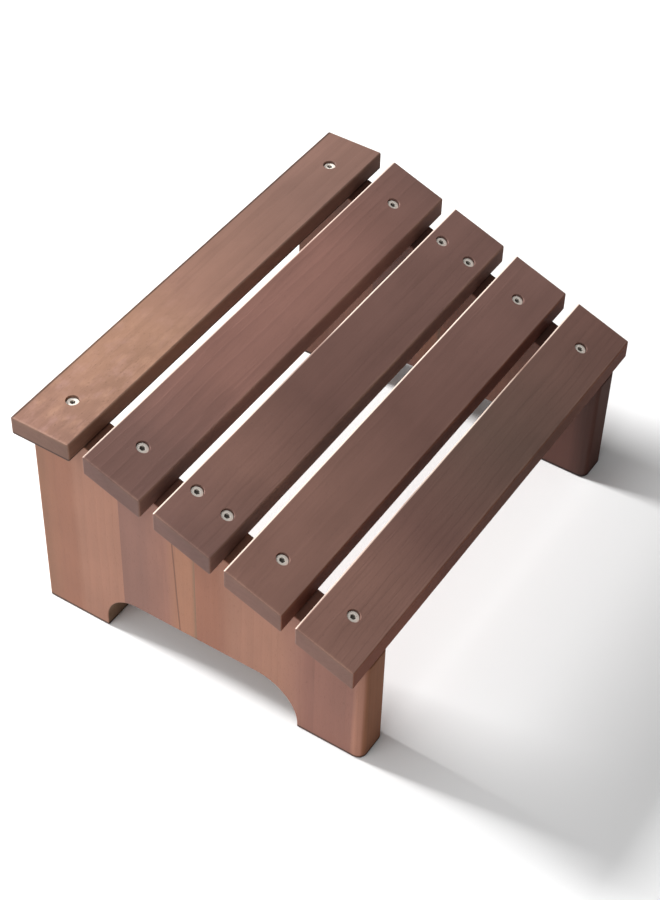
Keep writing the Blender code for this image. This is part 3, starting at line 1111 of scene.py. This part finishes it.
def panel_outline():
    front_top = PANEL_HEIGHT - (CREASE_Y - PANEL_FRONT_Y) * math.tan(SLOPE)
    arch_rear_y = PANEL_REAR_Y - FOOT_LENGTH
    arch_front_y = PANEL_FRONT_Y + FOOT_LENGTH
    rear_center = (arch_rear_y - ARCH_REAR_RADIUS, ARCH_HEIGHT - ARCH_REAR_RADIUS)
    front_center = (arch_front_y + ARCH_FRONT_RADIUS, ARCH_HEIGHT - ARCH_FRONT_RADIUS)
    return [
        (PANEL_REAR_Y, 0),
        (PANEL_REAR_Y, PANEL_HEIGHT),
        (CREASE_Y, PANEL_HEIGHT),
        (PANEL_FRONT_Y, front_top),
        (PANEL_FRONT_Y, 0),
        (arch_front_y, 0),
        *arc(front_center, ARCH_FRONT_RADIUS, 180, 90),
        *arc(rear_center, ARCH_REAR_RADIUS, 90, 0),
        (arch_rear_y, 0),
    ]


def is_upright_front(edge):
    """Whether an edge of the panel stands upright at its front."""
    one, other = (vert.co for vert in edge.verts)
    at_front = max(abs(one.y - PANEL_FRONT_Y), abs(other.y - PANEL_FRONT_Y)) < SAME_PLACE
    return at_front and abs(one.z - other.z) > FRONT_EDGE_RADIUS


def panel_mesh(outward):
    """A whole panel. Outward is -1 for the left one, whose outer face is at -X, and else 1."""
    form = bmesh.new()
    outline = [form.verts.new((outward * INNER_FACE_X, y, z)) for y, z in panel_outline()]
    face = form.faces.new(outline)
    grown = bmesh.ops.extrude_face_region(form, geom=[face])["geom"]
    moved = [item for item in grown if isinstance(item, bmesh.types.BMVert)]
    thickness = OUTER_FACE_X - INNER_FACE_X
    bmesh.ops.translate(form, verts=moved, vec=(outward * thickness, 0, 0))
    bmesh.ops.bevel(
        form,
        geom=[edge for edge in form.edges if is_upright_front(edge)],
        offset=FRONT_EDGE_RADIUS,
        segments=FRONT_EDGE_STEPS,
        profile=ROUND_PROFILE,
        affect="EDGES",
    )
    return mesh_from(form, "panel")


def ease(piece, width):
    bevel = piece.modifiers.new("eased edges", "BEVEL")
    bevel.width = width
    bevel.segments = EASING_STEPS
    bevel.limit_method = "ANGLE"
    bevel.angle_limit = SHARP_EDGE


def block_mesh(low, high):
    """The block of space that one stave fills, which parts it from its neighbours."""
    form = bmesh.new()
    bmesh.ops.create_cube(form, size=1)
    for vert in form.verts:
        vert.co = [b if c > 0 else a for a, b, c in zip(low, high, vert.co)]
    return mesh_from(form, "block")


print("Panels are", round(PANEL_HEIGHT / MM), "mm high")
print("Glue lines lie at", [round(y / MM, 1) for y in GLUE_LINES], "mm")

# %% [markdown]
# ## Tones of the staves
#
# The panels are a lighter, warmer brown than the slats, and each stave has its own:
# bark brown that turns to peach at the rear, then mauve that turns to amber, rust,
# peach again, and cocoa with a honey edge at the front. The second stave also has a
# gum line, a thin dark streak of resin that leans a little off the grain.
#
# The right panel shares these tones, but painted shade makes it darker all over,
# as its inner face stands in the shade under the step, and its front stave is the
# darkest. Painted shade also makes the inside of the arch grey, and a painted contact
# shadow makes the lowest edge of every foot nearly black.

# %% Staves in place
PANEL_STAINS = {
    "bark": "885F49",
    "sienna": "8F604B",
    "peach": "986B57",
    "mauve": "815B4F",
    "rose": "936656",
    "amber": "9E6E55",
    "olive": "745E4A",
    "rust": "91604B",
    "cocoa": "855A4D",
    "honey": "9E6D59",
    "chestnut": "855840",
    "cocoa in painted shade": "684236",
}
# The right panel's front stave ends in a darker cocoa, as painted shade.
SHADED_FRONT_STAVE = [(0.6, "cocoa"), (0.8, "cocoa in painted shade")]
PANEL_TONES = {
    1: [(0.0, "bark"), (0.25, "sienna"), (0.4, "sienna"), (0.5, "peach")],
    2: [(0.3, "mauve"), (0.6, "rose"), (0.75, "amber"), (0.95, "amber"), (1.0, "olive")],
    3: [(0.25, "rust"), (0.45, "peach")],
    4: [(0.0, "peach"), (0.5, "rose"), (0.8, "cocoa")],
    5: [(0.76, "cocoa"), (0.84, "honey"), (0.94, "honey"), (0.98, "chestnut")],
}
PANEL_WORN = "B5896E"
RIGHT_PANEL_SHADE = (0.48, 0.44, 0.45)
# Tint of the painted shade inside the arch.
ARCH_SHADE = (0.52, 0.66, 0.62)
ARCH_SHADE_START = 0.5 * FOOT_LENGTH
ARCH_SHADE_FULL = 0.8 * FOOT_LENGTH
# A painted contact shadow along the lowest edge of the feet.
CONTACT_SHADOW_TOP = 3.2 * MM
CONTACT_SHADOW_FULL = 1.8 * MM
CONTACT_SHADOW_STRENGTH = 0.75
GUM = "5C3A2E"
GUM_LINE_STAVE = 2
GUM_LINE_TOP_Y = 19.3 * MM
GUM_LINE_TOP_Z = 124.7 * MM
GUM_LINE_FOOT_Y = 15.6 * MM
GUM_LINE_FOOT_Z = 41.3 * MM
GUM_LINE_WIDTH = 0.5 * MM
GUM_LINE_WANDER = 1.5 * MM
GUM_LINE_STRENGTH = 0.7
HEART_REARWARD = 15 * MM
HEART_OUTWARD = 55 * MM
STAVE_FIGURE_STEP = 5.3
PANEL_FIGURE_SHIFT = {"left": 0.0, "right": 37.0}


def gum_line(finish, place, streak, color):
    """A thin dark streak that leans off the grain in the second stave."""
    y, z = place[1:]
    slant = (GUM_LINE_TOP_Y - GUM_LINE_FOOT_Y) / (GUM_LINE_TOP_Z - GUM_LINE_FOOT_Z)
    line_y = GUM_LINE_FOOT_Y + (z - GUM_LINE_FOOT_Z) * slant
    off_line = abs(y - line_y + streak.swing(GUM_LINE_WANDER))
    on_line = off_line.rise(GUM_LINE_WIDTH * 2, GUM_LINE_WIDTH / 2)
    return finish.mix(color, paint(GUM), on_line * GUM_LINE_STRENGTH)


def right_panel_shade(finish, place, streak, color):
    """Painted shade over the whole right panel, whose inner face stands in the shade under the step,
    so all its tones are darker.
    """
    return color.tinted(RIGHT_PANEL_SHADE)


def arch_shade(finish, place, streak, color):
    """Painted shade, grey and dark, on the inside of the arch, which faces down and away from the
    light.
    """
    y, z = place[1:]
    faces_inwards = abs(finish.normal()[0]).rise(0.8, 0.5)
    past_front_foot = y.rise(PANEL_FRONT_Y + ARCH_SHADE_START, PANEL_FRONT_Y + ARCH_SHADE_FULL)
    past_rear_foot = y.rise(PANEL_REAR_Y - ARCH_SHADE_START, PANEL_REAR_Y - ARCH_SHADE_FULL)
    under_arch = z.rise(ARCH_HEIGHT + 2 * PANEL_EASING, ARCH_HEIGHT + PANEL_EASING)
    inside = faces_inwards * past_front_foot * past_rear_foot * under_arch
    return finish.mix(color, color.tinted(ARCH_SHADE), inside)


def foot_contact_shadow(finish, place, streak, color):
    """A painted contact shadow darkens the lowest edge of the feet, where they stand on the floor."""
    return color * (1 - place[2].rise(CONTACT_SHADOW_TOP, CONTACT_SHADOW_FULL) * CONTACT_SHADOW_STRENGTH)


def stave_finish(side, number, low, high):
    outward = SIDES[side]
    faces = sorted((outward * INNER_FACE_X, outward * OUTER_FACE_X))
    heart_y = (low.y + high.y) / 2 + HEART_REARWARD
    board = Board(
        low=(faces[0], PANEL_FRONT_Y, 0.0),
        high=(faces[1], PANEL_REAR_Y, PANEL_HEIGHT),
        grain="Z",
        drift=("Y", high.y, low.y),
        heart=(heart_y, outward * (OUTER_FACE_X + HEART_OUTWARD)),
        seed=number * STAVE_FIGURE_STEP + PANEL_FIGURE_SHIFT[side],
    )
    names = SHADED_FRONT_STAVE if number == STAVE_COUNT and side == "right" else PANEL_TONES[number]
    tones = [(share, paint(PANEL_STAINS[stain])) for share, stain in names]
    details = [arch_shade, foot_contact_shadow]
    if side == "right":
        details.append(right_panel_shade)
    elif number == GUM_LINE_STAVE:
        details.append(gum_line)
    return stained_wood(f"{side}_stave_wood_{number}", board, tones, paint(PANEL_WORN), details)


lines = [PANEL_REAR_Y + BLOCK_MARGIN, *GLUE_LINES, PANEL_FRONT_Y - BLOCK_MARGIN]
for side, outward in SIDES.items():
    panel = panel_mesh(outward)
    one_x = outward * (INNER_FACE_X - BLOCK_MARGIN)
    other_x = outward * (OUTER_FACE_X + BLOCK_MARGIN)
    for number, (rear_y, front_y) in enumerate(zip(lines, lines[1:]), start=1):
        block_low = (min(one_x, other_x), front_y, -BLOCK_MARGIN)
        block_high = (max(one_x, other_x), rear_y, PANEL_HEIGHT + BLOCK_MARGIN)
        block = add("block", block_mesh(block_low, block_high))
        stave = add(f"{side}_stave_{number}", panel)
        ease(stave, PANEL_EASING)
        cut(stave, [block], "INTERSECT")
        cut(stave, drills[side], "DIFFERENCE")
        settle(stave)
        bpy.data.objects.remove(block)
        node = f"{side}_side_stave_{number}"
        low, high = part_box(node)
        dress(stave, node, stave_finish(side, number, low, high))
        report(stave, node)

# %% [markdown]
# ## Clearing the bench
#
# The drills have done their work, so they go.

# %% Clearing the bench
for drill in drills["left"] + drills["right"]:
    bpy.data.objects.remove(drill)
